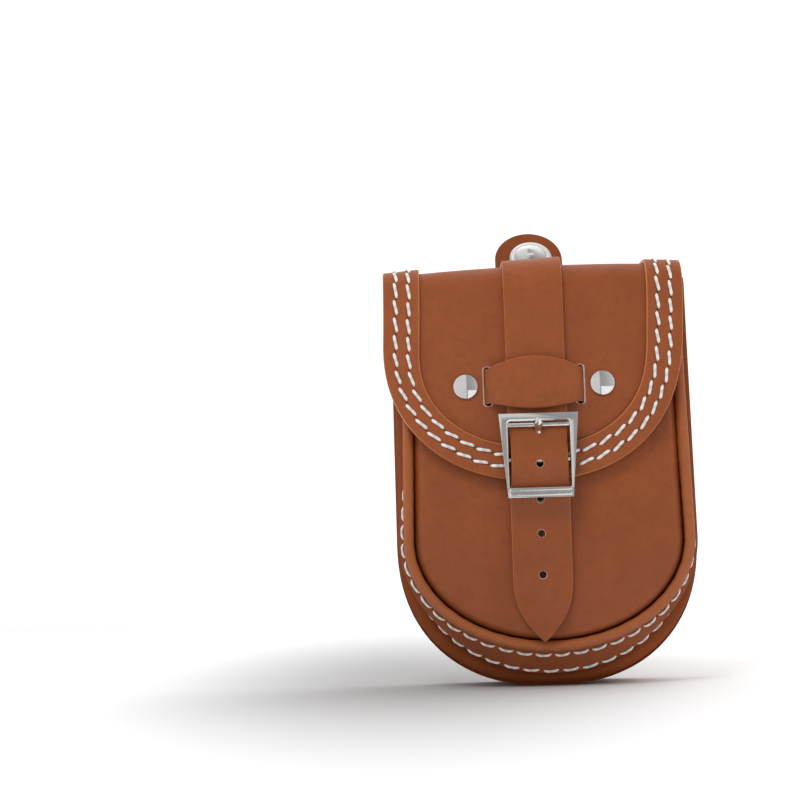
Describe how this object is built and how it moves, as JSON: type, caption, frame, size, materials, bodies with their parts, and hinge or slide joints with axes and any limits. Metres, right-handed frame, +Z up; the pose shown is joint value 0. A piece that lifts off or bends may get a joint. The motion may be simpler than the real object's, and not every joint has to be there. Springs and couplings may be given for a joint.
{
  "type": "motorcycle tank bag",
  "caption": "Small round-bottomed leather pouch with a curved stitched flap, a billet strap in a riveted keeper, a centre-bar buckle and a snap tab behind the top",
  "frame": {"origin": "the middle of the flat foot under the round bottom, on the surface that the bag stands on", "axes": "+Z is up, from the round bottom to the snap tab; the front with its buckle faces -Y; +X is to the right of someone who looks at the front"},
  "size_m": [0.1568, 0.1011, 0.2385],
  "materials": {
    "panel_leather": "semi-gloss waxed saddle leather, reddish brown",
    "gusset_leather": "semi-gloss waxed saddle leather, darker brown",
    "border_leather": "semi-gloss waxed saddle leather, reddish brown, with a light cut edge",
    "strap_leather": "semi-gloss waxed saddle leather, reddish brown",
    "nickel": "polished nickel plate"
  },
  "bodies": {
    "root": {"front_panel": "panel_leather", "gusset_front": "panel_leather", "gusset_rear": "gusset_leather", "back_panel": "gusset_leather", "flap": "panel_leather", "flap_border": "border_leather", "billet_strap": "strap_leather", "strap_keeper": "strap_leather", "buckle_chape": "strap_leather", "snap_tab": "strap_leather", "rivet_left": "nickel", "rivet_right": "nickel", "buckle_frame": "nickel", "buckle_prong": "nickel", "snap_cap": "nickel", "snap_socket": "nickel"}
  },
  "joints": []
}
